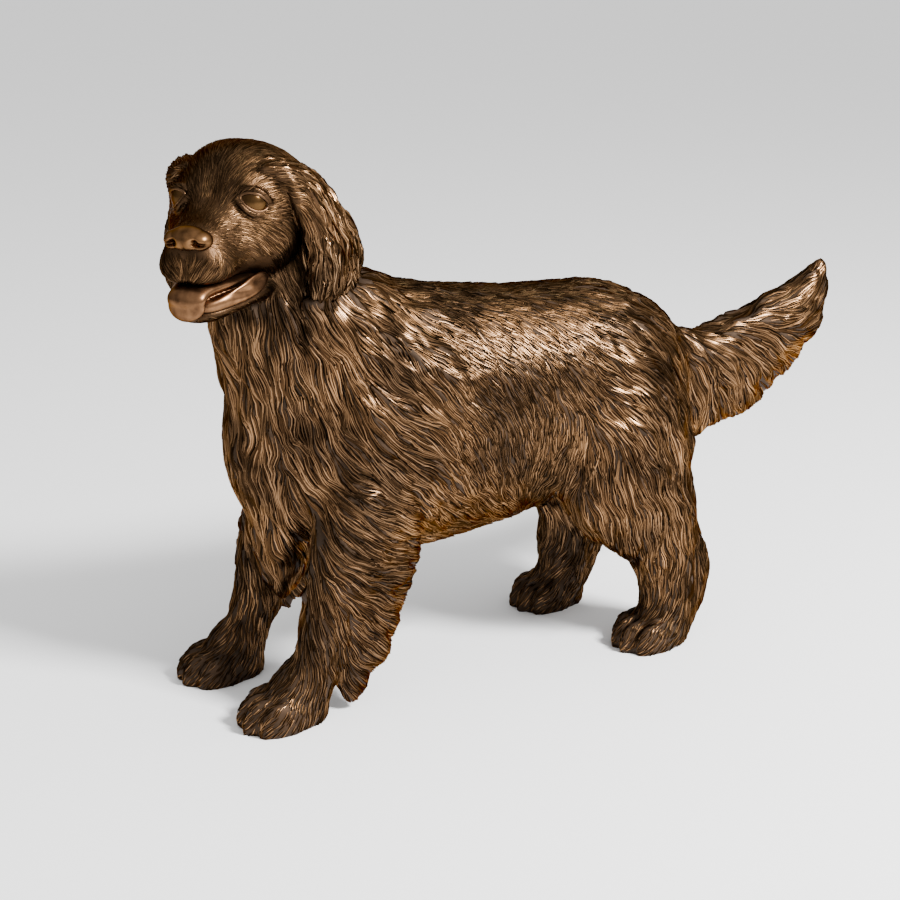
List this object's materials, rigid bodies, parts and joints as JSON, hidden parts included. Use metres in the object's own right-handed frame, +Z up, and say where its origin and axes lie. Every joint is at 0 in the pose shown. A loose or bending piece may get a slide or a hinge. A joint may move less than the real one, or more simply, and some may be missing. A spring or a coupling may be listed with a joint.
{
  "type": "dog statue",
  "caption": "Life-size bronze golden retriever standing on its four feet, head turned to its left, mouth open, tail raised, with carved wavy fur.",
  "frame": {"origin": "centre of the statue's box at the level of its soles", "axes": "+X towards the tail, -Y towards the dog's left side, +Z up; the soles stand on Z = 0"},
  "size_m": [1.1258, 0.3036, 0.8018],
  "materials": {
    "bronze": "dark brown patina, rubbed to bright bronze on the tips of the fur"
  },
  "bodies": {
    "root": {"retriever": "bronze"}
  },
  "joints": []
}
